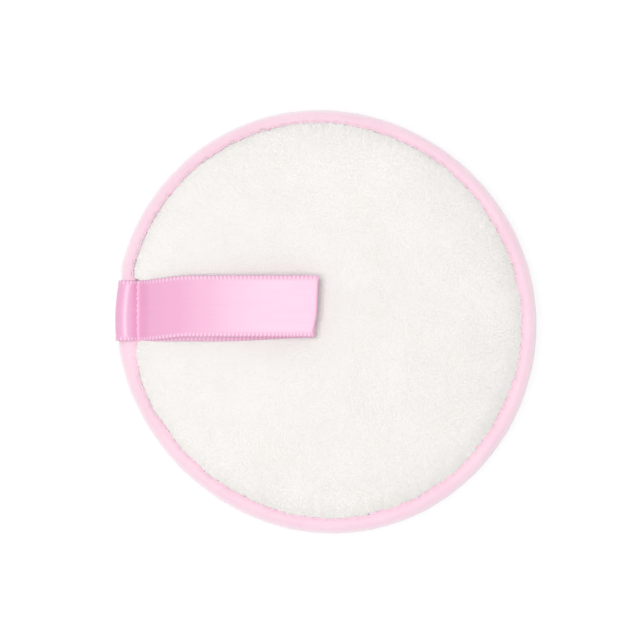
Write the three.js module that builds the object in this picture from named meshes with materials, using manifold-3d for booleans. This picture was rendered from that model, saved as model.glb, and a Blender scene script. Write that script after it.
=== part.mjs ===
// Round makeup remover pad: two plush faces over a foam disc, bound round the edge with knitted
// tape, with a satin ribbon tacked over the edge so that it makes a finger loop on the front.
// Millimetres, +Z up. The origin is the middle of the rear face, on which the pad lies.
import * as THREE from 'three';
import { mergeVertices } from 'three/addons/utils/BufferGeometryUtils.js';
import Module from 'manifold-3d';

// Plies of the pad
const PAD_DIAMETER = 120;        // over the bound edge
const PLUSH_THICKNESS = 4;       // backing and pile of each face cloth
const PRESSED_THICKNESS = 0.75;  // the same cloth where the edge seam squeezes it
const CORE_THICKNESS = 5.2;      // foam disc on its flat part
const CORE_EDGE = 1.6;           // blunt rim of the foam disc
const FACE_CROWN = 1.2;          // swell of the foam and the front face towards the middle
const SHOULDER_WIDTH = 26.5;     // round from the flat of a face down to the binding
const PLY_GAP = 0.3;             // clearance between pieces that touch

// Bound edge
const BINDING_WIDTH = 5.2;       // tape seen on each face
const BINDING_HEIGHT = 6.8;      // rolled edge, from front to rear
const TAPE_THICKNESS = 0.8;
const TAPE_WRAP = 150;           // degrees round the roll, from its outermost line to a tape edge
const STITCH_INSET = 0.6;        // seam from the tape edge
const BINDING_STITCH = 2.9;      // length of one stitch
const THREAD_DIAMETER = 0.4;

// Ribbon
const RIBBON_WIDTH = 17.2;
const RIBBON_THICKNESS = 0.4;
const RIBBON_OFFSET = 3.4;       // middle of the ribbon from the middle of the pad, along Y
const SEAM_INSET = 6.4;          // tack seam from the edge of the pad
const FRONT_ALLOWANCE = 0.6;     // ribbon past the tack seam, up to the line where the loop turns
const REAR_TAIL = 1.5;           // cut end of the ribbon past the tack seam, on the rear
const LOOP_REACH = 51.4;         // tack seam to the fold
const LOOP_EYE = 6;              // clear height inside the loop
const LOOP_ROOT = 3;             // length beside the seam where the two legs lie together
const TACK_STITCH = 1.8;         // length of one stitch
const TACK_MARGIN = 1.2;         // bare ribbon at each end of the tack seam

// Fineness of the facets
const ROUND_STEPS = 48;
const CROWN_STEPS = 3;
const SHOULDER_STEPS = 5;
const ROLL_STEPS = 5;
const LEG_STEPS = 22;
const FOLD_STEPS = 8;
const THREAD_SIDES = 3;

const { degToRad, clamp, lerp } = THREE.MathUtils;

// Heights below are measured from the seam plane, half way through the bound edge.
const padRadius = PAD_DIAMETER / 2;
const edgeHeight = CORE_THICKNESS / 2 + PLY_GAP + PLUSH_THICKNESS;
const wrapAngle = degToRad(TAPE_WRAP);
const rollReach = BINDING_WIDTH / (1 - Math.cos(wrapAngle));
const rollHalf = BINDING_HEIGHT / 2;
const rollCentre = padRadius - rollReach;
const neckRadius = padRadius - BINDING_WIDTH - PLY_GAP;
const neckHalf = PLY_GAP / 2 + PRESSED_THICKNESS;
const flatRadius = neckRadius - SHOULDER_WIDTH;

// 1 on the flat of a face, rounding off to 0 at the neck under the binding seam
function fullness(radius) {
  return Math.sqrt(1 - clamp((radius - flatRadius) / SHOULDER_WIDTH, 0, 1) ** 2);
}

function faceHeight(radius) {
  return neckHalf + (edgeHeight - neckHalf) * fullness(radius);
}

function liningHeight(radius) {
  return PLY_GAP / 2 + (CORE_THICKNESS / 2 + PLY_GAP / 2) * fullness(radius);
}

function crown(radius) {
  return FACE_CROWN * (1 - (radius / neckRadius) ** 2);
}

function frontHeight(radius) {
  return faceHeight(radius) + crown(radius);
}

function steps(count, first, last) {
  return Array.from({ length: count + 1 }, (_, i) => lerp(first, last, i / count));
}

// Radii over the round of a shoulder, out to the given one, closer together where it is steeper
function shoulderRadii(last) {
  const steepest = Math.asin((last - flatRadius) / SHOULDER_WIDTH);
  return steps(SHOULDER_STEPS, 0, steepest).map((slope) => flatRadius + SHOULDER_WIDTH * Math.sin(slope));
}

// Point on the rolled edge, swollen by outset (or shrunk, where that is negative)
function rollPoint(angle, outset) {
  const radius = rollCentre + (rollReach + outset) * Math.cos(angle);
  return new THREE.Vector2(radius, (rollHalf + outset) * Math.sin(angle));
}

// Solid of revolution about Z, from a profile of (radius, height) that runs anticlockwise
function turned(profile) {
  return new THREE.LatheGeometry(profile, ROUND_STEPS).rotateX(Math.PI / 2);
}

// Face cloth, as the profile of a front face: lining, rim inside the binding, then the pile side
function clothProfile(swell, flatSteps) {
  const flat = steps(flatSteps, 0, flatRadius).slice(0, -1);
  const radii = [...flat, ...shoulderRadii(neckRadius)];
  const inset = -TAPE_THICKNESS - PLY_GAP;
  const rimStart = Math.asin(PLY_GAP / 2 / (rollHalf + inset));
  const lining = radii.map((r) => new THREE.Vector2(r, liningHeight(r) + swell(r)));
  const rim = steps(ROLL_STEPS, rimStart, wrapAngle).map((angle) => rollPoint(angle, inset));
  const pile = radii.map((r) => new THREE.Vector2(r, faceHeight(r) + swell(r))).reverse();
  return [...lining, ...rim, ...pile];
}

function frontPlush() {
  return turned(clothProfile(crown, CROWN_STEPS));
}

// The rear cloth has no crown: its flat is what the pad lies on.
function rearPlush() {
  const profile = clothProfile(() => 0, 1);
  return turned(profile.map((p) => new THREE.Vector2(p.x, -p.y)).reverse());
}

// Foam disc, thinning under the shoulders until only its blunt rim is left
function foamCore() {
  const rimFullness = (CORE_EDGE + PLY_GAP) / (CORE_THICKNESS + PLY_GAP);
  const rimRadius = flatRadius + SHOULDER_WIDTH * Math.sqrt(1 - rimFullness ** 2);
  const crowned = steps(CROWN_STEPS, 0, flatRadius).slice(0, -1);
  const sloped = shoulderRadii(rimRadius);
  const rear = [0, ...sloped].map((r) => new THREE.Vector2(r, PLY_GAP - liningHeight(r)));
  const front = [...crowned, ...sloped]
    .map((r) => new THREE.Vector2(r, liningHeight(r) + crown(r) - PLY_GAP));
  return turned([...rear, ...front.reverse()]);
}

// Tape folded round the edge, open towards the middle of the pad
function edgeBinding() {
  const outside = steps(2 * ROLL_STEPS, -wrapAngle, wrapAngle).map((angle) => rollPoint(angle, 0));
  const inside = steps(2 * ROLL_STEPS, wrapAngle, -wrapAngle)
    .map((angle) => rollPoint(angle, -TAPE_THICKNESS));
  return turned([...outside, ...inside, outside[0]]);
}

// Seam of the binding: a ring of stitches, each arched between two needle holes
const threadRadius = THREAD_DIAMETER / 2;
const stitchArch = THREAD_DIAMETER / 2;
const stitchLine = rollPoint(wrapAngle - STITCH_INSET / rollReach, PLY_GAP + threadRadius);
const stitchTop = stitchLine.y + threadRadius + stitchArch;

function bindingThread() {
  const stitches = Math.round((2 * Math.PI * stitchLine.x) / BINDING_STITCH);
  const ring = new THREE.TorusGeometry(stitchLine.x, threadRadius, THREAD_SIDES, 2 * stitches);
  const place = ring.attributes.position;
  for (let i = 0; i < place.count; i += 1) {
    const angle = Math.atan2(place.getY(i), place.getX(i));
    const arch = (stitchArch * (1 - Math.cos(stitches * angle))) / 2;
    place.setZ(i, place.getZ(i) + stitchLine.y + arch);
  }
  return ring;
}

// Ribbon: deckHeight is the level at which it lies over the roll, its stitches and the pile beside it
const seamRadius = padRadius - SEAM_INSET;
const frontEnd = seamRadius - FRONT_ALLOWANCE;
const rearEnd = seamRadius - REAR_TAIL;
const deckHeight = PLY_GAP
  + Math.max(rollHalf, stitchTop, frontHeight(frontEnd), faceHeight(rearEnd));
const ribbonLow = RIBBON_OFFSET - RIBBON_WIDTH / 2;
const ribbonHigh = RIBBON_OFFSET + RIBBON_WIDTH / 2;

// Joins and cuts of closed solids
const wasm = await Module();
wasm.setup();

function toSolid(geometry) {
  const bare = geometry.clone();
  bare.deleteAttribute('normal');
  bare.deleteAttribute('uv');
  const merged = mergeVertices(bare);
  return new wasm.Manifold(new wasm.Mesh({
    numProp: 3,
    vertProperties: new Float32Array(merged.attributes.position.array),
    triVerts: new Uint32Array(merged.index.array),
  }));
}

function toGeometry(solid) {
  const mesh = solid.getMesh();
  const geometry = new THREE.BufferGeometry();
  geometry.setAttribute('position', new THREE.BufferAttribute(mesh.vertProperties, 3));
  geometry.setIndex(new THREE.BufferAttribute(mesh.triVerts, 1));
  geometry.computeVertexNormals();
  return geometry;
}

// One side of the ribbon's strip, from beyond the edge of the pad in to the radius where it ends
function stripBox(end, low, high) {
  const beyond = padRadius + BINDING_WIDTH;
  return new THREE.BoxGeometry(beyond - end, RIBBON_WIDTH, high - low)
    .translate(-(beyond + end) / 2, RIBBON_OFFSET, (low + high) / 2);
}

// Ribbon round the edge: a turned channel over the binding, cut to the strip
function ribbonTab() {
  const inmost = rearEnd - RIBBON_WIDTH;
  const turn = (outset, first, last) => steps(2 * ROLL_STEPS, first, last).map((angle) => (
    new THREE.Vector2(
      rollCentre + (rollReach + PLY_GAP + outset) * Math.cos(angle),
      (deckHeight + outset) * Math.sin(angle),
    )));
  const level = (height) => new THREE.Vector2(inmost, height);
  const quarter = Math.PI / 2;
  const top = deckHeight + RIBBON_THICKNESS;
  const channel = turned([
    level(-top), ...turn(RIBBON_THICKNESS, -quarter, quarter), level(top),
    level(deckHeight), ...turn(0, quarter, -quarter), level(-deckHeight), level(-top),
  ]);
  const frontStrip = toSolid(stripBox(frontEnd, -rollHalf, 2 * top));
  const rearStrip = toSolid(stripBox(rearEnd, -2 * top, rollHalf));
  return toGeometry(toSolid(channel).intersect(frontStrip.add(rearStrip)));
}

// Loop: one leg lies on the pile, the other arches over it, and both are joined at the seam.
function ribbonLoop() {
  const root = -frontEnd + PLY_GAP;
  const foldRadius = LOOP_EYE / 2 + RIBBON_THICKNESS;
  const turn = -seamRadius + LOOP_REACH - foldRadius;
  const throat = root + LOOP_ROOT;
  const underside = (x) => Math.max(deckHeight, frontHeight(Math.abs(x)) + PLY_GAP);
  const ply = (x) => {
    const rise = (underside(x + PLY_GAP) - underside(x - PLY_GAP)) / (2 * PLY_GAP);
    return RIBBON_THICKNESS * Math.hypot(1, rise);
  };
  const eye = (x) => LOOP_EYE * Math.sin((Math.PI / 2) * clamp((x - throat) / (turn - throat), 0, 1));
  const line = (stations, height) => stations.map((x) => new THREE.Vector2(x, height(x)));
  const bend = (radius, first, last) => steps(FOLD_STEPS, first, last).slice(1, -1).map((angle) => (
    new THREE.Vector2(
      turn + radius * Math.cos(angle),
      underside(turn) + foldRadius + radius * Math.sin(angle),
    )));
  const leg = steps(LEG_STEPS, root, turn);
  const open = steps(LEG_STEPS, throat, turn);
  const quarter = Math.PI / 2;
  const outline = new THREE.Shape([
    ...line(leg, underside),
    ...bend(foldRadius, -quarter, quarter),
    ...line(leg.reverse(), (x) => underside(x) + 2 * ply(x) + eye(x)),
  ]);
  outline.holes.push(new THREE.Path([
    ...line(open, (x) => underside(x) + ply(x)),
    ...bend(LOOP_EYE / 2, -quarter, quarter),
    ...line(open.slice(1).reverse(), (x) => underside(x) + ply(x) + eye(x)),
  ]));
  return new THREE.ExtrudeGeometry(outline, { depth: RIBBON_WIDTH, bevelEnabled: false })
    .rotateX(Math.PI / 2)
    .translate(0, ribbonHigh, 0);
}

// Tack seam: a row of stitches across the ribbon, as it lies on the front
function tackThread() {
  const first = ribbonLow + TACK_MARGIN;
  const last = ribbonHigh - TACK_MARGIN;
  const halfStitches = 2 * Math.max(1, Math.round((last - first) / TACK_STITCH));
  const height = deckHeight + RIBBON_THICKNESS + PLY_GAP + threadRadius;
  const points = steps(halfStitches, first, last).map((y, i) => (
    new THREE.Vector3(-seamRadius, y, height + (i % 2) * stitchArch)));
  const section = new THREE.Shape().absarc(0, 0, threadRadius, 0, 2 * Math.PI);
  return new THREE.ExtrudeGeometry(section, {
    extrudePath: new THREE.CatmullRomCurve3(points),
    steps: halfStitches,
    curveSegments: 2,
    bevelEnabled: false,
  });
}

// The rear seams are the front ones turned over about the ribbon's own middle line.
function onRear(geometry, middle) {
  return geometry.rotateX(Math.PI).translate(0, 2 * middle, 0);
}

const cloth = (color, roughness) => new THREE.MeshStandardMaterial({ color, roughness, metalness: 0 });
const plushWhite = cloth(0xf4f2ef, 0.95);
const foamWhite = cloth(0xf3ecdc, 0.9);
const tapePink = cloth(0xfdd8e7, 0.85);
const satinPink = cloth(0xf9c4e4, 0.35);
const threadPink = cloth(0xffc4e4, 0.6);

const pad = new THREE.Group();
pad.position.z = edgeHeight;

function addPiece(name, geometry, material) {
  const piece = new THREE.Mesh(geometry, material);
  piece.name = name;
  pad.add(piece);
}

addPiece('rear_plush', rearPlush(), plushWhite);
addPiece('foam_core', foamCore(), foamWhite);
addPiece('front_plush', frontPlush(), plushWhite);
addPiece('edge_binding', edgeBinding(), tapePink);
addPiece('binding_needle_thread', bindingThread(), threadPink);
addPiece('binding_bobbin_thread', onRear(bindingThread(), 0), threadPink);
addPiece('ribbon_tab', ribbonTab(), satinPink);
addPiece('ribbon_loop', ribbonLoop(), satinPink);
addPiece('tack_needle_thread', tackThread(), threadPink);
addPiece('tack_bobbin_thread', onRear(tackThread(), RIBBON_OFFSET), threadPink);

const makeupRemoverPad = new THREE.Group();
makeupRemoverPad.add(pad);

export default makeupRemoverPad;
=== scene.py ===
# Makeup remover pad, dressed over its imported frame: a foam disc between two plush face cloths, knitted
# binding round the edge, and a satin ribbon tacked over the edge as a finger loop.
import random
from math import atan2, cos, hypot, pi, radians, sin, sqrt, tau

import bmesh
import bpy
from mathutils import Matrix, Vector, noise
from mathutils.bvhtree import BVHTree
from mathutils.geometry import interpolate_bezier


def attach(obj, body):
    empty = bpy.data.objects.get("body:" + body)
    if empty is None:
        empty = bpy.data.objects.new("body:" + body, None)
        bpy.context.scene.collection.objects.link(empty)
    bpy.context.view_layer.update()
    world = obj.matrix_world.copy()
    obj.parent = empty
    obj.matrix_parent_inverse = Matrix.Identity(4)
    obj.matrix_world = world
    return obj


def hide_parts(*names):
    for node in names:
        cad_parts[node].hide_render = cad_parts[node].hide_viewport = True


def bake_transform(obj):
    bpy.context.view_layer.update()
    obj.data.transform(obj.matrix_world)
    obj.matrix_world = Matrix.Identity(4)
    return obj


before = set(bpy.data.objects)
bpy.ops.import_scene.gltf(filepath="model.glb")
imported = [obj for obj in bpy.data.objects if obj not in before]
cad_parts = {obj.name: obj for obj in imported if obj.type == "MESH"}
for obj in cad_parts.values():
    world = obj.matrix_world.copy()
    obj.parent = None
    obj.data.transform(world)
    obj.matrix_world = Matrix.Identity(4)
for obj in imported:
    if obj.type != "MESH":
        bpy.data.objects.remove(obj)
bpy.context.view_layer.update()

# Foam disc: cream foam about 5 mm thick, punched out as a disc and thinned at the rim, where the edge
# seam squeezes it. It lies loose between the two face cloths and gives the pad its body.
MM = 0.001                # pieces are drawn in millimetres and finished in metres
SEAM_HEIGHT = 6.9         # plane half way through the bound edge
FLAT_RADIUS = 28.0        # where the faces start to round off towards the binding
NECK_RADIUS = 54.5        # where the binding seam squeezes them together
FACE_CROWN = 1.2          # swell of the front towards the middle
OVAL_SIZE = 1.0021        # mean size of the sewn outline, over its true circle
OVAL_WAVES = (            # waves round it, and their depths as cosine and sine
    (1, 0.0025, -0.0026), (2, -0.003, -0.0145), (3, 0.0, 0.0024), (4, 0.0019, 0.0009))
ROUND_STEPS = 96
FOAM_HALF = 2.6
FOAM_RIM = 0.3            # half the height of its blunt rim
FOAM_RADIUS = 52.0
FOAM_ROUNDING = 0.5
FOAM_RINGS = 8
FOAM_UNEVEN = 0.12        # depth of its lumps
FOAM_LUMP = 7.0
FOAM_PORE = 0.9
NOISE_SEED = 1            # for the lumps here and the nap below, which the clock would draw otherwise


def fullness(radius):
    """1 on the flat of a face, rounding off to 0 at the neck under the binding seam."""
    share = (radius - FLAT_RADIUS) / (NECK_RADIUS - FLAT_RADIUS)
    return sqrt(1 - min(max(share, 0.0), 1.0) ** 2)


def crown(radius):
    """Swell of the front face over the plane of its neck."""
    return FACE_CROWN * (1 - (radius / NECK_RADIUS) ** 2)


def oval(angle):
    """How far the sewn pad departs from a true circle, as a share of its radius."""
    return OVAL_SIZE + sum(even * cos(waves * angle) + odd * sin(waves * angle)
                           for waves, even, odd in OVAL_WAVES)


def draw_oval(bm):
    """Draws a round shape to the outline of the sewn pad."""
    for vert in bm.verts:
        share = oval(atan2(vert.co.y, vert.co.x))
        vert.co.x *= share
        vert.co.y *= share


def turned(section, steps):
    """A closed shape turned about Z from a section of (radius, height) points, from axis to axis."""
    bm = bmesh.new()
    points = [bm.verts.new((radius, 0, height)) for radius, height in section]
    for first, second in zip(points, points[1:]):
        bm.edges.new((first, second))
    bmesh.ops.spin(bm, geom=bm.verts[:] + bm.edges[:], cent=(0, 0, 0), axis=(0, 0, 1),
                   angle=tau, steps=steps, use_merge=True)
    bmesh.ops.remove_doubles(bm, verts=bm.verts, dist=0.001)
    bmesh.ops.recalc_face_normals(bm, faces=bm.faces)
    return bm


def finished(name, bm, material):
    """Scales a mesh drawn in millimetres to metres and makes it a piece at the origin."""
    bmesh.ops.scale(bm, vec=(MM, MM, MM), verts=bm.verts)
    mesh = bpy.data.meshes.new(name)
    bm.to_mesh(mesh)
    bm.free()
    mesh.shade_smooth()
    mesh.materials.append(material)
    piece = bpy.data.objects.new(name, mesh)
    bpy.context.scene.collection.objects.link(piece)
    return piece


def dye(red, green, blue):
    """A colour as the eye sees it, each part from 0 to 255, as linear light."""
    return (*(((part / 255 + 0.055) / 1.055) ** 2.4 for part in (red, green, blue)), 1.0)


class Shade:
    """An output socket of a shader node. Arithmetic on it adds Math nodes to its material."""

    def __init__(self, tree, socket=None):
        self.tree, self.socket = tree, socket

    def node(self, kind, settings=None, sockets=None, output=0):
        """Any shader node: its settings first, then the values or links of its sockets."""
        made = self.tree.nodes.new("ShaderNode" + kind)
        for name, value in (settings or {}).items():
            setattr(made, name, value)
        for name, value in (sockets or {}).items():
            if isinstance(value, Shade):
                self.tree.links.new(value.socket, made.inputs[name])
            else:
                made.inputs[name].default_value = value
        return Shade(self.tree, made.outputs[output] if made.outputs else None)

    def math(self, operation, other=0.0):
        return self.node("Math", {"operation": operation}, {0: self, 1: other})

    def __add__(self, other):
        return self.math("ADD", other)

    __radd__ = __add__

    def __sub__(self, other):
        return self.math("SUBTRACT", other)

    def __rsub__(self, other):
        return self.node("Math", {"operation": "SUBTRACT"}, {0: other, 1: self})

    def __mul__(self, other):
        return self.math("MULTIPLY", other)

    __rmul__ = __mul__

    def rise(self, low, high):
        """0 below low, 1 above high and smooth between them."""
        return self.node("MapRange", {"interpolation_type": "SMOOTHSTEP"},
                         {0: self, 1: low, 2: high})

    def mix(self, plain, full):
        """A colour: plain where this is 0, full where it is 1."""
        return self.node("Mix", {"data_type": "RGBA"}, {0: self, 6: plain, 7: full}, 2)

    def wave(self, pitch):
        """A sine wave from 0 to 1 that repeats at that pitch."""
        return 0.5 + 0.5 * (self * (tau / pitch)).math("SINE")

    def split(self):
        """The X and Y parts of a vector."""
        parts = self.node("SeparateXYZ", None, {0: self}).socket.node.outputs
        return Shade(self.tree, parts[0]), Shade(self.tree, parts[1])

    def cloud(self, size, detail=2.0):
        """Soft noise round 0.5 with patches of that size in millimetres."""
        return self.node("TexNoise", None,
                         {"Vector": self, "Scale": 1 / (size * MM), "Detail": detail})


def finish(name, paint, relief, **surface):
    """A material: paint turns Object coordinates into colour, roughness and relief height."""
    material = bpy.data.materials.new(name)
    material.use_nodes = True
    tree = material.node_tree
    tree.nodes.clear()
    place = Shade(tree).node("TexCoord", output="Object")
    colour, roughness, height = paint(place)
    bump = place.node("Bump", None, {"Height": height, "Distance": relief * MM})
    shader = place.node("BsdfPrincipled", None, {
        "Base Color": colour, "Roughness": roughness, "Normal": bump, **surface})
    place.node("OutputMaterial", None, {"Surface": shader})
    return material


def foam_cells(place):
    pore = 1 - place.node("TexVoronoi", None, {
        "Vector": place, "Scale": 1 / (FOAM_PORE * MM)}).rise(0.15, 0.6)
    aged = place.cloud(14).rise(0.35, 0.75)
    cream = aged.mix(dye(243, 236, 220), dye(238, 227, 204))
    return (0.45 * pore).mix(cream, dye(205, 188, 158)), 0.85 + 0.1 * pore, 1 - pore


rounds = [FLAT_RADIUS + (FOAM_RADIUS - FLAT_RADIUS) * sin(pi / 2 * k / FOAM_RINGS)
          for k in range(FOAM_RINGS + 1)]
foam_radii = [0, FLAT_RADIUS / 2, *rounds]
foam_rear = [(r, SEAM_HEIGHT - FOAM_RIM - (FOAM_HALF - FOAM_RIM) * fullness(r)) for r in foam_radii]
foam_front = [(r, SEAM_HEIGHT + FOAM_RIM + (FOAM_HALF - FOAM_RIM) * fullness(r) + crown(r))
              for r in foam_radii]
bm = turned([*foam_rear, *foam_front[::-1]], ROUND_STEPS)
rim_edges = [e for e in bm.edges if all(hypot(v.co.x, v.co.y) > FOAM_RADIUS - 0.1 for v in e.verts)
             and abs(e.verts[0].co.z - e.verts[1].co.z) < 0.1]
bmesh.ops.bevel(bm, geom=rim_edges, offset=FOAM_ROUNDING, offset_type="OFFSET", affect="EDGES",
                segments=3, profile=0.5, material=-1)
noise.seed_set(NOISE_SEED)
for vert in bm.verts:
    vert.co += FOAM_UNEVEN * noise.noise_vector(vert.co / FOAM_LUMP)
draw_oval(bm)
foam = finished("foam_disc", bm, finish("cream_foam", foam_cells, 0.25))
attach(foam, "pad")
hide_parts("foam_core")

# Face cloths: two rounds of white plush, a thick knitted backing with a short, dense, soft pile, drawn
# over the foam and squeezed together at the edge seam. The rear one lies on its pile.
BODY_RISE = 4.7           # backing on the flat of a face, over its squeezed edge
BODY_EDGE = 2.25          # squeezed backing, from the seam plane
CLOTH_THICKNESS = 0.6
ALLOWANCE_RADIUS = 58.9   # raw edge inside the binding
PILLOW_RADIUS = 58.2      # both backings together, before they are stuffed
PILLOW_EDGE = 2.2         # half height of the rim that a voxel still catches
PILLOW_RINGS = 24
PILLOW_VOXEL = 3.0
PILLOW_SWELL = 0.8        # how much smaller the pillow starts
HELD_RADIUS = 51.5        # outside this the edge seam holds it
MOST_SWELL = 0.9
PRESSURE = 4.0
PRESSURE_FRAMES = 20
PUCKERS = 118             # one to a stitch of the binding
PUCKER_DEPTH = 0.14
PUCKER_RADIUS = 46.0      # where the puckers start
PUCKER_FADE = 6.0
PAD_RADIUS = 60.0
TAB_ANGLE = radians(176.9)      # where the ribbon crosses the edge
TAB_HALF_ANGLE = radians(8.4)
TAB_RELEASE = 1.35 * TAB_HALF_ANGLE   # past this the ribbon no longer holds the edge in
TAB_RADIUS = 58.5         # the ribbon holds the raw edges inside this
FRONT_BOUND = 4.6         # tape that shows on the front, from the outline in
FRONT_BOUND_LEAN = (0.41, -0.58)   # how much more of it to the right and at the foot
BUNCHED_TAPE = 2.4        # and more where it bunches just past the ribbon
BUNCH_END = radians(22)
REAR_BOUND = 4.3          # tape that shows on the rear
SCALLOP = 0.9             # depth of the scallops of the bound edge
SCALLOP_STITCH = 0.55     # share of them that follows the stitches
SCALLOP_SKEW = 0.7
SCALLOP_WANDER = 0.9      # share that wanders over a few stitches
SCALLOP_REACH = 14.0      # larger for shorter wanderings
TACK_X = -53.6            # seam that holds the ribbon
TACK_DENT = 1.6           # how far that seam draws the pad in
TACK_SPREAD = 3.0
TACK_FADE = (0.7, 1.8)    # past the ribbon's edges
PRESSED_MIDDLE = (-30.5, 2.9)   # patch of the front pile that the ribbon lies on
PRESSED_HALF = (25.5, 7.9)
RIBBON_END = -52.1        # where the ribbon's rear end stops
REAR_PRESSED = 2.2        # pile under that end, from the seam plane
REAR_SLOPE = 1.5          # how steeply the pile rises past it
REAR_CLEARANCE = 0.03     # pile over the surface that the pad lies on
FACE_RISE = 6.0           # pressed pile on the flat of a face, over the neck
FACE_EDGE = 0.9           # pressed pile at the neck, from the seam plane
FREE_PILE = 4.0           # how much higher the pile may stand beside the ribbon
FREE_FROM = (-1.0, 3.0)   # where it starts to, and fully does, from the ribbon's edge
PRESSED_SLACK = 0.05
LEAST_PILE = 0.25         # pile left standing where it is pressed
LOCKS = 120000
LOCK_SIDES = 3
LOCK_LENGTH = 0.6
LOCK_WIDTH = 0.42
LOCK_WIDTHS = (0.85, 1.25)      # shares of that width
LOCK_UNEVEN = (-0.2, 0.15)      # shares of the length, more or less
LOCK_STRAY = 0.3          # how far a root strays from its place
LOCK_TILT = 0.18
ROOT_DEPTH = 0.2
NAP_SWIRL = 0.25          # how far whole patches of pile lean
NAP_PATCH = 13.0          # size of one patch
NAP_SOFTNESS = 0.85       # how far a lock is shaded like the face that it lies on
PILE_TUCK = 0.5           # outermost roots under the tape
PILE_MARGIN = 0.6         # and inside the pillow's rim
RIM_BAND = 4.5            # ring of pile that swells over the tape
RIM_CALM = 0.6            # how much more evenly it stands
RIM_GROWTH = 0.6          # how much longer it is
RIM_LEAN = (0.8, 1.2)     # how far it leans, out and up
RIM_SHADE = 0.8
PILE_MAP = 126.0          # width of the cloth on the map that its colours are stored on
BACKING_MAP = (0.13, 0.07)      # the backing's share of that map, and its middle from a corner
GOLDEN_TURN = pi * (3 - sqrt(5))
ABOVE_ALL = 60.0          # height from which a face is sought


def step_up(value, low, high):
    """0 below low, 1 above high and smooth between them."""
    share = min(max((value - low) / (high - low), 0.0), 1.0)
    return share * share * (3 - 2 * share)


def plush_pile(place):
    tip = place.node("Attribute", {"attribute_name": "tip"}, None, "Fac")
    nap = place.cloud(11, 3.0).rise(0.3, 0.7)
    fibre = place.cloud(0.35)
    pile = nap.mix(dye(244, 242, 239), dye(246, 244, 242))
    root = dye(246, 243, 241)
    return tip.rise(-0.2, 0.7).mix(root, pile), 0.9 + 0.1 * fibre, fibre


def bound_width(angle):
    """Tape that shows on the front: wider at the foot of the pad, and bunched just past the ribbon."""
    past = (angle % tau) - TAB_ANGLE
    bunched = step_up(past, 0, TAB_HALF_ANGLE) * (1 - step_up(past, TAB_HALF_ANGLE, BUNCH_END))
    leaning = FRONT_BOUND_LEAN[0] * cos(angle) + FRONT_BOUND_LEAN[1] * sin(angle)
    return FRONT_BOUND + leaning + BUNCHED_TAPE * bunched


def scallop(angle, side):
    """How the bound edge wanders in and out, round 0: a little at each stitch, more over a few."""
    wander = noise.noise(Vector((SCALLOP_REACH * cos(angle), SCALLOP_REACH * sin(angle), 3 * side)))
    stitch = PUCKERS * angle
    return SCALLOP_STITCH * cos(stitch + SCALLOP_SKEW * sin(stitch)) + SCALLOP_WANDER * wander


def past_selvedge(y):
    """How far a point lies past the ribbon's long edges, negative between them."""
    return abs(y - PRESSED_MIDDLE[1]) - PRESSED_HALF[1]


def beside_ribbon(x, y):
    """How far a point lies outside the patch that the ribbon covers, negative inside it."""
    return max(abs(x - PRESSED_MIDDLE[0]) - PRESSED_HALF[0], past_selvedge(y))


def tack_dent(x, y):
    """How far the tack seam draws a face in."""
    near = 1 - step_up(abs(x - TACK_X), 0.0, TACK_SPREAD)
    return TACK_DENT * near * (1 - step_up(past_selvedge(y), *TACK_FADE))


def body_height(radius, side):
    """Outside of a backing from the seam plane."""
    return BODY_EDGE + BODY_RISE * fullness(radius) + max(side, 0) * crown(radius)


def pillow_height(radius, side):
    """Outside of the pillow from the seam plane, before it is stuffed."""
    return max(body_height(radius, side) - PILLOW_SWELL * fullness(radius), PILLOW_EDGE)


def evaluated(piece):
    """The piece's mesh with its modifiers applied."""
    depsgraph = bpy.context.evaluated_depsgraph_get()
    return bpy.data.meshes.new_from_object(piece.evaluated_get(depsgraph))


def stuffed_pillow():
    """Both backings as one closed pillow, blown up by cloth simulation with its rim held."""
    radii = [PILLOW_RADIUS * k / PILLOW_RINGS for k in range(PILLOW_RINGS + 1)]
    rear = [(r, SEAM_HEIGHT - pillow_height(r, -1)) for r in radii]
    front = [(r, SEAM_HEIGHT + pillow_height(r, 1)) for r in radii[::-1]]
    pillow = finished("pillow", turned([*rear, *front], ROUND_STEPS), None)
    voxels = pillow.modifiers.new("voxels", "REMESH")
    voxels.mode = "VOXEL"
    voxels.voxel_size = PILLOW_VOXEL * MM
    pillow.data = evaluated(pillow)
    pillow.modifiers.clear()
    rest = [v.co.copy() for v in pillow.data.vertices]
    rim = [k for k, co in enumerate(rest) if hypot(co.x, co.y) > HELD_RADIUS * MM]
    pillow.vertex_groups.new(name="rim").add(rim, 1.0, "REPLACE")
    stuffing = pillow.modifiers.new("stuffing", "CLOTH").settings
    stuffing.use_pressure = True
    stuffing.uniform_pressure_force = PRESSURE
    stuffing.vertex_group_mass = "rim"
    stuffing.effector_weights.gravity = 0.0
    for step in range(1, PRESSURE_FRAMES + 1):
        bpy.context.scene.frame_set(step)
    swollen = evaluated(pillow)
    pillow.modifiers.clear()
    for vert, start, end in zip(pillow.data.vertices, rest, swollen.vertices):
        swell = end.co - start
        swell.length = min(swell.length, MOST_SWELL * MM)
        vert.co = start + swell
    bpy.context.scene.frame_set(1)
    smooth = pillow.modifiers.new("smooth", "SUBSURF")
    smooth.levels = smooth.render_levels = 1
    stuffed = evaluated(pillow)
    bpy.data.objects.remove(pillow)
    return stuffed


def pile_limit(point, side):
    """How far from the seam plane the pile may stand: flat under the ribbon and on the rear."""
    if side < 0:
        clear = max(point.x - RIBBON_END, past_selvedge(point.y) - TACK_FADE[0])
        return min(REAR_PRESSED + REAR_SLOPE * max(clear, 0.0), SEAM_HEIGHT - REAR_CLEARANCE)
    radius = hypot(point.x, point.y)
    pressed = FACE_EDGE + FACE_RISE * fullness(radius) + crown(radius) + PRESSED_SLACK
    free = FREE_PILE * step_up(beside_ribbon(point.x, point.y), *FREE_FROM)
    return pressed + free - tack_dent(point.x, point.y)


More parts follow.
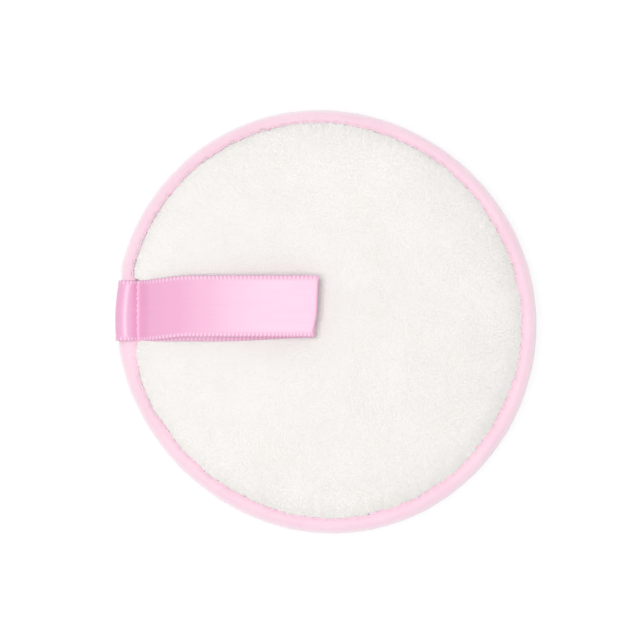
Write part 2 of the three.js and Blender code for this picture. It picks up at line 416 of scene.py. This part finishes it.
def backing(stuffed, side):
    """One face's backing: half the pillow, squeezed to the neck, with its raw edge drawn out."""
    bm = bmesh.new()
    bm.from_mesh(stuffed)
    bmesh.ops.scale(bm, vec=(1 / MM, 1 / MM, 1 / MM), verts=bm.verts)
    bmesh.ops.bisect_plane(bm, geom=bm.verts[:] + bm.edges[:] + bm.faces[:], dist=0.01,
                           plane_co=(0, 0, SEAM_HEIGHT), plane_no=(0, 0, side), clear_inner=True)
    for vert in bm.verts:
        radius, angle = hypot(vert.co.x, vert.co.y), atan2(vert.co.y, vert.co.x)
        squeeze = min(body_height(radius, side) / PILLOW_EDGE, 1.0)
        fade = min(max((radius - PUCKER_RADIUS) / PUCKER_FADE, 0.0), 1.0)
        pucker = PUCKER_DEPTH * cos(PUCKERS * angle) * fade
        stand = (side * (vert.co.z - SEAM_HEIGHT) + pucker) * squeeze - tack_dent(vert.co.x, vert.co.y)
        vert.co.z = SEAM_HEIGHT + side * min(stand, pile_limit(vert.co, side) - LEAST_PILE)
    raw = bmesh.ops.extrude_edge_only(bm, edges=[e for e in bm.edges if e.is_boundary])["geom"]
    for vert in raw:
        if isinstance(vert, bmesh.types.BMVert):
            out = ALLOWANCE_RADIUS / hypot(vert.co.x, vert.co.y)
            vert.co = (vert.co.x * out, vert.co.y * out, SEAM_HEIGHT + side * BODY_EDGE / 2)
    bmesh.ops.recalc_face_normals(bm, faces=bm.faces)
    if sum(side * face.normal.z for face in bm.faces) < 0:
        bmesh.ops.reverse_faces(bm, faces=bm.faces)
    return bm


def lock_shape():
    """One upright lock of pile, 1 long: a slim spike, toned from root to tip."""
    bm = bmesh.new()
    bmesh.ops.create_cone(bm, cap_ends=False, segments=LOCK_SIDES, radius1=1, radius2=0, depth=1,
                          matrix=Matrix.Translation((0, 0, 0.5)))
    tone = bm.verts.layers.float.new("tip")
    flat = bm.loops.layers.uv.new("OFBake")
    for face in bm.faces:
        for loop in face.loops:
            loop[flat].uv = loop.vert.co.xy
    for vert in bm.verts:
        vert[tone] = vert.co.z
    shape = bpy.data.meshes.new("lock")
    bm.to_mesh(shape)
    bm.free()
    return shape


def lock_place(surface, side, number, draw):
    """How one lock roots in the cloth and leans."""
    angle = number * GOLDEN_TURN
    edge = PAD_RADIUS + PILE_TUCK - (bound_width(angle) if side > 0 else REAR_BOUND)
    edge -= SCALLOP * scallop(angle, side)
    edge = min(edge, PILLOW_RADIUS - PILE_MARGIN)
    radius = edge * sqrt((number + 0.5) / LOCKS) + draw.uniform(-LOCK_STRAY, LOCK_STRAY)
    angle += draw.uniform(-LOCK_STRAY, LOCK_STRAY) / max(radius, 1)
    x, y = radius * cos(angle), radius * sin(angle)
    root, normal, _, _ = surface.ray_cast(Vector((x, y, side * ABOVE_ALL)), Vector((0, 0, -side)))
    rim = step_up(radius, edge - RIM_BAND, edge)
    calm = 1 - RIM_CALM * rim
    lean = normal + NAP_SWIRL * noise.noise_vector(Vector((x / NAP_PATCH, y / NAP_PATCH, side * 5)))
    lean += LOCK_TILT * calm * Vector((draw.gauss(0, 1), draw.gauss(0, 1), 0))
    lean += rim * Vector((RIM_LEAN[0] * cos(angle), RIM_LEAN[0] * sin(angle), RIM_LEAN[1] * side))
    across = Matrix.Rotation(draw.uniform(0, tau), 3, normal) @ normal.orthogonal().normalized()
    width = LOCK_WIDTH * draw.uniform(*LOCK_WIDTHS)
    length = LOCK_LENGTH * (1 + draw.uniform(*LOCK_UNEVEN) * calm) * (1 + RIM_GROWTH * rim)
    place = Matrix((width * across, width * normal.cross(across), length * lean.normalized()))
    place = Matrix.Translation(root - ROOT_DEPTH * normal) @ place.transposed().to_4x4()
    return place, normal.lerp(Vector((0, 0, side)), RIM_SHADE * rim)


def face_cloth(name, node, side, stuffed, material):
    """One face: its backing, the pile on it and the soft shading of the pile."""
    bm = backing(stuffed, side)
    surface = BVHTree.FromBMesh(bm)
    flat = bm.loops.layers.uv.new("OFBake")
    bmesh.ops.solidify(bm, geom=bm.faces[:], thickness=CLOTH_THICKNESS)
    for face in bm.faces:
        for loop in face.loops:
            loop[flat].uv = loop.vert.co.xy * BACKING_MAP[0] / PILE_MAP + Vector((BACKING_MAP[1],) * 2)
    backing_verts, backing_faces = len(bm.verts), len(bm.faces)
    shape = lock_shape()
    for _ in range(LOCKS):
        bm.from_mesh(shape)
    verts, faces = bm.verts[backing_verts:], bm.faces[backing_faces:]
    points, sides = len(shape.vertices), len(shape.polygons)
    draw = random.Random(name)
    nap = [vert.normal.copy() for vert in bm.verts[:backing_verts]]
    for number in range(LOCKS):
        place, normal = lock_place(surface, side, number, draw)
        nap += [normal] * points
        for vert in verts[number * points:(number + 1) * points]:
            vert.co = place @ vert.co
            stand = min(side * (vert.co.z - SEAM_HEIGHT), pile_limit(vert.co, side))
            vert.co.z = SEAM_HEIGHT + side * stand
        for face in faces[number * sides:(number + 1) * sides]:
            for loop in face.loops:
                root = loop[flat].uv * LOCK_WIDTH + place.translation.xy
                loop[flat].uv = root / PILE_MAP + Vector((0.5, 0.5))
    bpy.data.meshes.remove(shape)
    draw_oval(bm)
    for vert in bm.verts:
        radius = hypot(vert.co.x, vert.co.y)
        beside = abs(atan2(vert.co.y, vert.co.x) % tau - TAB_ANGLE)
        if radius > TAB_RADIUS and beside < TAB_RELEASE:
            vert.co.xy *= TAB_RADIUS / radius
    cloth = finished(name, bm, material)
    soft = []
    for face in cloth.data.polygons:
        for corner in face.vertices:
            upward = step_up(face.normal.dot(nap[corner]), 0.0, 0.5)
            soft.append(face.normal.lerp(nap[corner], NAP_SOFTNESS * upward).normalized())
    cloth.data.normals_split_custom_set(soft)
    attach(cloth, "pad")
    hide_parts(node)


stuffed = stuffed_pillow()
plush = finish("white_plush", plush_pile, 0.05, **{
    "Sheen Weight": 0.1, "Sheen Roughness": 0.5, "Specular IOR Level": 0.2})
face_cloth("front_face_cloth", "front_plush", 1, stuffed, plush)
face_cloth("rear_face_cloth", "rear_plush", -1, stuffed, plush)
bpy.data.meshes.remove(stuffed)

# Binding: soft knitted tape 13 mm wide, folded over the raw edges of both face cloths and sewn through.
# It starts and ends under the ribbon, and the seam draws its inner edges into scallops.
ROLL_REACH = 2.2          # from the crest of the roll to its outermost line
ROLL_HALF = 3.4           # from the seam plane to the crest
TAPE_THICKNESS = 0.7
TAPE_FLAT_WIDTH = 13.0
TAPE_WRAP = radians(150)  # round the roll, from its outermost line to an edge of the tape
TAPE_EDGE = radians(95)   # where the scallops start
TAPE_START = radians(172)
TAPE_LAP = radians(11)
LAP_FADE = radians(6)
LAP_DEPTH = 1.1           # how far the lapped end goes under the other, in thicknesses
TAPE_TURN = tau + TAPE_LAP
TAPE_LENGTH = TAPE_TURN * (PAD_RADIUS - ROLL_REACH)
TAPE_STEPS = (722, 26)
TAPE_EASE = 0.5           # how much less than a full roll the inner edges turn down
TAPE_WAVER = (0.12, 0.04)       # how the roll wavers: in its reach, and in its height as a share
WAVER_STITCHES = 9        # stitches to one waver
TAB_SQUEEZE = 0.35        # how far inside the round outline the ribbon holds it
STITCHES = PUCKERS
SEAM_DIMPLE = 0.18
DIMPLE_WRAP = (radians(105), radians(136))
DIMPLE_SKEW = 0.5
WALE_PITCH = 0.464        # ribs along the knitted tape
COURSE_PITCH = 0.7        # rows of loops across it


def tape_point(angle, wrap, lift=0.0):
    """Point over the tape: angle goes round the pad, wrap round the roll from its outermost line."""
    turn = angle % tau
    side = 1 if wrap > 0 else -1
    squeeze = 1 - step_up(abs(turn - TAB_ANGLE), TAB_HALF_ANGLE, TAB_RELEASE)
    edge = step_up(abs(wrap), TAPE_EDGE, TAPE_WRAP)
    stitch = STITCHES * turn
    drawn = 0.5 + 0.5 * cos(stitch + DIMPLE_SKEW * sin(stitch))
    wavers = STITCHES / WAVER_STITCHES
    waver = noise.noise(Vector((wavers * cos(turn), wavers * sin(turn), wrap)))
    width = bound_width(angle) if wrap > 0 else REAR_BOUND
    inward = ROLL_REACH if cos(wrap) > 0 else (width - ROLL_REACH) / -cos(TAPE_WRAP)
    inward += edge * SCALLOP * scallop(turn, side)
    outline = PAD_RADIUS * oval(turn)
    crest = outline + squeeze * (PAD_RADIUS - TAB_SQUEEZE - outline) - ROLL_REACH
    radius = crest + (inward + lift) * cos(wrap) + TAPE_WAVER[0] * waver * (1 - edge)
    height = (ROLL_HALF + lift) * sin(wrap)
    if cos(wrap) < 0:
        height += side * TAPE_EASE * (1 - abs(sin(wrap))) * ROLL_HALF
    height *= 1 + TAPE_WAVER[1] * waver
    dimple = SEAM_DIMPLE * drawn * step_up(abs(wrap), *DIMPLE_WRAP)
    return Vector((radius * cos(turn), radius * sin(turn), SEAM_HEIGHT + height - side * dimple))


def knit_tape(place):
    along, across = place.node("UVMap", {"uv_map": "tape"}).split()
    loop = across.wave(WALE_PITCH) * (0.6 + 0.4 * along.wave(COURSE_PITCH))
    fade = place.cloud(9, 3.0).rise(0.3, 0.7)
    from_fold = (across - TAPE_FLAT_WIDTH / 2).math("ABSOLUTE")
    pink = fade.mix(dye(252, 217, 232), dye(254, 222, 235))
    # painted shade: deeper pink along the tape's inner edges, where they dip into the pile
    pink = (0.8 * from_fold.rise(4.56, 6.42)).mix(pink, dye(250, 200, 221))
    # painted highlight: lighter pink along the outermost line of the roll, which faces sideways
    pink = (0.7 - 0.7 * from_fold.rise(0.84, 3.8)).mix(pink, dye(255, 234, 243))
    return (0.12 * (1 - loop)).mix(pink, dye(244, 178, 206)), 0.8 + 0.15 * loop, loop


bm = bmesh.new()
tape_map = bm.loops.layers.uv.new("tape")
bmesh.ops.create_grid(bm, x_segments=TAPE_STEPS[0], y_segments=TAPE_STEPS[1], size=0.5,
                      calc_uvs=True)
for face in bm.faces:
    for loop in face.loops:
        along, across = loop[tape_map].uv
        loop[tape_map].uv = along * TAPE_LENGTH, across * TAPE_FLAT_WIDTH
for vert in bm.verts:
    turn = TAPE_START + (vert.co.x + 0.5) * TAPE_TURN
    lapped = 1 - step_up(turn, TAPE_START + TAPE_LAP, TAPE_START + TAPE_LAP + LAP_FADE)
    vert.co = tape_point(turn, 2 * vert.co.y * TAPE_WRAP, -LAP_DEPTH * TAPE_THICKNESS * lapped)
bmesh.ops.recalc_face_normals(bm, faces=bm.faces)
bmesh.ops.solidify(bm, geom=bm.faces[:], thickness=TAPE_THICKNESS)
tape = finished("binding_tape", bm, finish("pink_knit", knit_tape, 0.08, **{
    "Sheen Weight": 1.0, "Sheen Roughness": 0.5, "Specular IOR Level": 0.25}))
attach(tape, "pad")
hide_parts("edge_binding")

# Binding seam: pink sewing thread in a ring of short arched stitches, needle side on the front and
# bobbin side on the rear, half sunk in the tape just inside its edges.
THREAD_RADIUS = 0.2
THREAD_SIDES = 6
STITCH_BENDS = 7
STITCH_TAPER = 0.25       # how much slimmer a stitch is in its needle holes
STITCH_DIVE = 2.4         # how deep it goes there, in thread radii
STITCH_WRAP = radians(124)
STITCH_SPAN = 0.86        # share of the pitch that shows between two needle holes


def sewn_thread(place):
    ply = place.node("TexWave", {"wave_type": "BANDS", "bands_direction": "DIAGONAL"},
                     {"Vector": place, "Scale": 0.35 / MM, "Distortion": 1.0})
    return (0.5 * ply).mix(dye(254, 224, 238), dye(248, 196, 220)), 0.45 + 0.1 * ply, ply


def stitch_shape():
    """One stitch, 1 long along X: a round thread that dives into a needle hole at each end."""
    bm = bmesh.new()
    bmesh.ops.create_cone(bm, cap_ends=True, segments=THREAD_SIDES, radius1=THREAD_RADIUS,
                          radius2=THREAD_RADIUS, depth=1, matrix=Matrix.Rotation(pi / 2, 4, "Y"))
    long_edges = [e for e in bm.edges if abs(e.verts[0].co.x - e.verts[1].co.x) > 0.5]
    bmesh.ops.subdivide_edges(bm, edges=long_edges, cuts=STITCH_BENDS)
    for vert in bm.verts:
        dive = (2 * abs(vert.co.x)) ** 3
        vert.co.y *= 1 - STITCH_TAPER * dive
        vert.co.z = vert.co.z * (1 - STITCH_TAPER * dive) - STITCH_DIVE * THREAD_RADIUS * dive
    shape = bpy.data.meshes.new("stitch")
    bm.to_mesh(shape)
    bm.free()
    return shape


def stitch_row(name, holes, outward, node, material):
    """Stitches between pairs of needle holes, each laid on the cloth that outward points away from."""
    shape = stitch_shape()
    bm = bmesh.new()
    for _ in holes:
        bm.from_mesh(shape)
    bm.verts.ensure_lookup_table()
    points = len(shape.vertices)
    for number, (start, end) in enumerate(holes):
        along = end - start
        up = outward((start + end) / 2)
        across = up.cross(along).normalized()
        up = along.cross(across).normalized()
        turn = Matrix((along, across, up)).transposed().to_4x4()
        place = Matrix.Translation((start + end) / 2 + up * THREAD_RADIUS / 2) @ turn
        for vert in bm.verts[number * points:(number + 1) * points]:
            vert.co = place @ vert.co
    bpy.data.meshes.remove(shape)
    row = finished(name, bm, material)
    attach(row, "pad")
    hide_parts(node)


thread = finish("pink_thread", sewn_thread, 0.05, **{"Sheen Weight": 0.1})


def roll_outward(point):
    """Away from the middle of the rolled edge."""
    angle = atan2(point.y, point.x)
    crest = PAD_RADIUS - ROLL_REACH
    return point - Vector((crest * cos(angle), crest * sin(angle), SEAM_HEIGHT))


def ring_of_holes(wrap):
    """Pairs of needle holes round the pad, left out under the ribbon."""
    holes = []
    for number in range(STITCHES):
        start, end = ((number + 0.5 + share * STITCH_SPAN) * tau / STITCHES for share in (-0.5, 0.5))
        if abs(start - TAB_ANGLE) > TAB_HALF_ANGLE:
            holes.append((tape_point(start, wrap), tape_point(end, wrap)))
    return holes


stitch_row("binding_stitches_front", ring_of_holes(STITCH_WRAP), roll_outward,
           "binding_needle_thread", thread)
stitch_row("binding_stitches_rear", ring_of_holes(-STITCH_WRAP), roll_outward,
           "binding_bobbin_thread", thread)

# Ribbon: pink satin 17 mm wide with woven selvedges, wrapped over the edge and tacked through. On the
# front it runs in over the pile, folds back on itself and is caught in the same seam as a finger loop.
RIBBON_WIDTH = 17.2
RIBBON_THICKNESS = 0.34
RIBBON_OFFSET = 2.85      # its middle from the middle of the pad, along Y
LEG_DRIFT = 1.3           # upper leg of the loop from the lower, along Y
FOLD_SKEW = 0.4           # half the lean of the fold across the ribbon
CREASE_SKEW = 0.9         # how far the top of the fold draws back at its lower corner
CREASE_HEIGHTS = (18.5, 21.5)
FOLD_STATIONS = 14        # half the length of the fold, in steps of the route
FOLD_FROM = (-16.0, -3.0)       # where the ribbon starts to, and fully does, lean into its fold
ROUND_TO = -56.5          # up to here it follows the round of the edge
DRIFT_FULL = -38.0        # from here the legs lie apart
UNDER_DRIFT = 0.75        # share of the drift that the lower leg takes up before the fold
UNDER_DRIFT_FROM = (-30.0, -3.0)
SELVEDGE = 1.15
SELVEDGE_EDGE = 0.15      # how sharply it starts
TICK_PITCH = 1.14
TICK_HEIGHT = 0.1
RIBBON_STEPS = (660, 26)
CURVE_STEPS = 16          # between two guides of the route
RIBBON_ROUTE = [
    (RIBBON_END, 3.9), (-53.6, 4.5), (-55.4, 3.5), (-57.0, 3.0), (-59.1, 3.9), (-60.0, 6.9),
    (-59.9, 8.4), (-59.4, 9.8), (-58.6, 10.45), (-57.1, 10.75), (-55.6, 10.5), (-54.6, 10.0),
    (-53.6, 9.3), (-52.7, 9.6), (-51.6, 10.7), (-50.0, 12.3), (-48.0, 13.7), (-46.0, 14.8),
    (-43.0, 16.0), (-40.0, 17.0), (-36.0, 18.0), (-30.0, 19.2), (-24.0, 20.1), (-18.0, 20.8),
    (-13.0, 21.25), (-9.0, 21.55), (-5.0, 21.8), (-2.8, 21.9), (-2.4, 21.75), (-2.33, 21.3),
    (-2.4, 20.2), (-2.6, 18.8), (-3.1, 17.4), (-4.3, 16.2), (-6.5, 15.6), (-9.0, 15.4),
    (-17.0, 15.25), (-27.0, 15.05), (-36.0, 14.6), (-40.0, 14.1), (-43.0, 13.6), (-46.5, 12.7),
    (-49.0, 11.7), (-51.3, 10.3), (-52.7, 9.15), (-54.2, 8.9)]


def smooth_route(guides, count):
    """Even (place, tangent) stations along a smooth line through the guides, and its length."""
    line = []
    neighbours = zip([guides[0], *guides], guides, guides[1:], [*guides[2:], guides[-1]])
    for before, start, end, after in neighbours:
        leave, arrive = start + (end - before) / 6, end - (after - start) / 6
        line += interpolate_bezier(start, leave, arrive, end, CURVE_STEPS + 1)[:-1]
    line.append(guides[-1])
    runs = [0.0]
    for start, end in zip(line, line[1:]):
        runs.append(runs[-1] + (end - start).length)
    stations, piece = [], 0
    for number in range(count):
        run = runs[-1] * number / (count - 1)
        while piece < len(line) - 2 and runs[piece + 1] < run:
            piece += 1
        share = (run - runs[piece]) / (runs[piece + 1] - runs[piece])
        stations.append(line[piece].lerp(line[piece + 1], share))
    ahead = [*stations[1:], stations[-1]]
    behind = [stations[0], *stations[:-1]]
    tangents = [(end - start).normalized() for start, end in zip(behind, ahead)]
    return list(zip(stations, tangents)), runs[-1]


guides = [Vector((x, 0, z)) for x, z in RIBBON_ROUTE]
stations, RIBBON_LENGTH = smooth_route(guides, RIBBON_STEPS[0] + 1)
fold_at = max(range(len(stations)), key=lambda k: stations[k][0].x)


def ribbon_point(step, across, lift=0.0):
    """Point on the ribbon: step along its route, across its width from -1 to 1."""
    place, tangent = stations[step]
    up = Vector((tangent.z, 0, -tangent.x))
    y = RIBBON_OFFSET + RIBBON_WIDTH / 2 * across
    on_tab = 1 - step_up(place.x, ROUND_TO, TACK_X)
    round_rim = PAD_RADIUS - sqrt(PAD_RADIUS ** 2 - y * y)
    loop = step_up(place.x, TACK_X, DRIFT_FULL)
    under = step_up(step, fold_at - FOLD_STATIONS, fold_at + FOLD_STATIONS)
    fold = step_up(place.x, *FOLD_FROM)
    drawn_back = CREASE_SKEW * step_up(-across, 0.2, 1.0) * step_up(place.z, *CREASE_HEIGHTS)
    x = place.x + on_tab * round_rim + fold * (FOLD_SKEW * across - drawn_back)
    y += loop * LEG_DRIFT * (1 - under * (1 - UNDER_DRIFT * step_up(place.x, *UNDER_DRIFT_FROM)))
    return Vector((x, y, place.z)) + lift * up


def closer_at_edges(share):
    """Spreads lines across the ribbon so that more of them run in its selvedges."""
    return 0.6 * share + 0.4 * sin(pi / 2 * share)


def satin(place):
    woven = place.node("UVMap", {"uv_map": "ribbon"})
    along, across = woven.split()
    inner = RIBBON_WIDTH / 2 - SELVEDGE
    selvedge = (across - RIBBON_WIDTH / 2).math("ABSOLUTE").rise(inner, inner + SELVEDGE_EDGE)
    tick = along.wave(TICK_PITCH).rise(0.3, 0.7)
    streak = woven.node("TexNoise", None, {
        "Vector": woven.node("Mapping", None, {"Vector": woven, "Scale": (0.03, 5.0, 1.0)}),
        "Scale": 1.0, "Detail": 3.0})
    pink = streak.rise(0.3, 0.7).mix(dye(239, 166, 206), dye(242, 172, 210))
    pink = selvedge.mix(pink, tick.mix(dye(236, 168, 205), dye(248, 197, 225)))
    return pink, 0.34 + 0.06 * streak + 0.2 * selvedge, streak


bm = bmesh.new()
ribbon_map = bm.loops.layers.uv.new("ribbon")
bmesh.ops.create_grid(bm, x_segments=RIBBON_STEPS[0], y_segments=RIBBON_STEPS[1], size=0.5,
                      calc_uvs=True)
for face in bm.faces:
    for loop in face.loops:
        along, across = loop[ribbon_map].uv
        across = 0.5 + closer_at_edges(2 * across - 1) / 2
        loop[ribbon_map].uv = along * RIBBON_LENGTH, across * RIBBON_WIDTH
for vert in bm.verts:
    step = round((vert.co.x + 0.5) * RIBBON_STEPS[0])
    across = closer_at_edges(2 * vert.co.y)
    band = step_up(abs(across), 1 - 2 * SELVEDGE / RIBBON_WIDTH, 1 - 1.7 * SELVEDGE / RIBBON_WIDTH)
    run = RIBBON_LENGTH * step / RIBBON_STEPS[0]
    ridge = TICK_HEIGHT * band * (0.5 + 0.5 * sin(tau * run / TICK_PITCH))
    vert.co = ribbon_point(step, across, -ridge)
bmesh.ops.recalc_face_normals(bm, faces=bm.faces)
bmesh.ops.solidify(bm, geom=bm.faces[:], thickness=RIBBON_THICKNESS)
ribbon = finished("satin_ribbon", bm, finish("pink_satin", satin, 0.03, **{
    "Specular IOR Level": 1.0, "Specular Tint": (0.55, 1.0, 0.8, 1.0)}))
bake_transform(ribbon)
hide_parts("ribbon_tab", "ribbon_loop")
RIBBON_LENGTH * MM

# Tack seam: a row of light pink stitches across the ribbon, through both ends of the loop, the
# binding and the pad, with its bobbin side on the rear.
TACK_PITCH = 1.65
TACK_ENDS = (-4.7, 10.4)
TACK_SPAN = 0.84          # share of the pitch that shows between two needle holes
TACK_SLANT = 0.3
TACK_STRAY = 0.1

tack_count = round((TACK_ENDS[1] - TACK_ENDS[0]) / TACK_PITCH)
tack_draw = random.Random(3)
ribbon_surface = BVHTree.FromPolygons([v.co / MM for v in ribbon.data.vertices],
                                      [p.vertices for p in ribbon.data.polygons])


def on_ribbon(x, y, side):
    """Where the ribbon's outside lies over a point of the pad."""
    return ribbon_surface.ray_cast(Vector((x, y, side * ABOVE_ALL)), Vector((0, 0, -side)))[0]


for name, node, side in (("tack_stitches_front", "tack_needle_thread", 1),
                         ("tack_stitches_rear", "tack_bobbin_thread", -1)):
    holes = []
    for number in range(tack_count):
        middle = TACK_ENDS[0] + (number + 0.5) * TACK_PITCH
        half = TACK_SPAN * TACK_PITCH / 2
        slant = TACK_SLANT * (number % 2 - 0.5) + tack_draw.uniform(-TACK_STRAY, TACK_STRAY)
        holes.append((on_ribbon(TACK_X - slant, middle - half, side),
                      on_ribbon(TACK_X + slant, middle + half, side)))
    stitch_row(name, holes, lambda point, side=side: Vector((0, 0, side)), node, thread)

# Studio: a plain white floor under the pad, even soft light from above and round about, and a camera
# looking straight down at the front.
FLOOR_HALF = 1.5
FLOOR_GREY = 0.97
FLOOR_GLOW = 1.03         # white in the picture
FLOOR_LIFT = (0.8, 0.2)   # share of that glow at the pad, where its shadow shows, and more far off
FLOOR_FAR = (0.09, 0.25)
AMBIENT = 0.65
LAMP_PLACE = (-0.18, 0.0, 1.1)
LAMP_SIZE = 0.42
LAMP_POWER = 5.3
VIEW_HEIGHT = 0.9069
VIEW_LENS = 177.2
VIEW_CENTRE = (-0.0016, 0.00022)

bm = bmesh.new()
bmesh.ops.create_grid(bm, x_segments=1, y_segments=1, size=FLOOR_HALF / MM)
floor_white = bpy.data.materials.new("floor_white")
floor_white.use_nodes = True
floor_white.node_tree.nodes.clear()
seen = Shade(floor_white.node_tree).node("LightPath", output="Is Camera Ray")
place = seen.node("TexCoord", output="Object")
far = place.node("VectorMath", {"operation": "LENGTH"}, {0: place}, "Value").rise(*FLOOR_FAR)
chalk = seen.node("BsdfDiffuse", None, {"Color": (FLOOR_GREY, FLOOR_GREY, FLOOR_GREY, 1)})
glow = seen.node("Emission", None, {"Strength": FLOOR_GLOW})
lifted = seen.node("MixShader", None, {
    0: seen * (FLOOR_LIFT[0] + FLOOR_LIFT[1] * far), 1: chalk, 2: glow})
seen.node("OutputMaterial", None, {"Surface": lifted})
floor = finished("floor", bm, floor_white)

world = bpy.data.worlds.new("studio")
bpy.context.scene.world = world
world.use_nodes = True
world.node_tree.nodes.clear()
air = Shade(world.node_tree)
direct = air.node("LightPath", output="Is Camera Ray")
mirrored = air.node("LightPath", output="Is Glossy Ray")
through = air.node("LightPath", output="Is Transmission Ray")
shown = direct.math("MAXIMUM", mirrored.math("MAXIMUM", through))
sky = air.node("Background", None, {
    "Color": (1, 1, 1, 1), "Strength": AMBIENT + (1 - AMBIENT) * shown})
air.node("OutputWorld", None, {"Surface": sky})

lamp = bpy.data.lights.new("softbox", "AREA")
lamp.shape = "SQUARE"
lamp.size = LAMP_SIZE
lamp.energy = LAMP_POWER
softbox = bpy.data.objects.new("softbox", lamp)
softbox.location = LAMP_PLACE
softbox.rotation_euler = Vector(LAMP_PLACE).to_track_quat("Z", "Y").to_euler()
bpy.context.scene.collection.objects.link(softbox)

lens = bpy.data.cameras.new("camera")
lens.lens = VIEW_LENS
lens.sensor_width = 36.0
camera = bpy.data.objects.new("camera", lens)
camera.location = (*VIEW_CENTRE, VIEW_HEIGHT)
bpy.context.scene.collection.objects.link(camera)
bpy.context.scene.camera = camera
bpy.context.scene.view_settings.view_transform = "Standard"
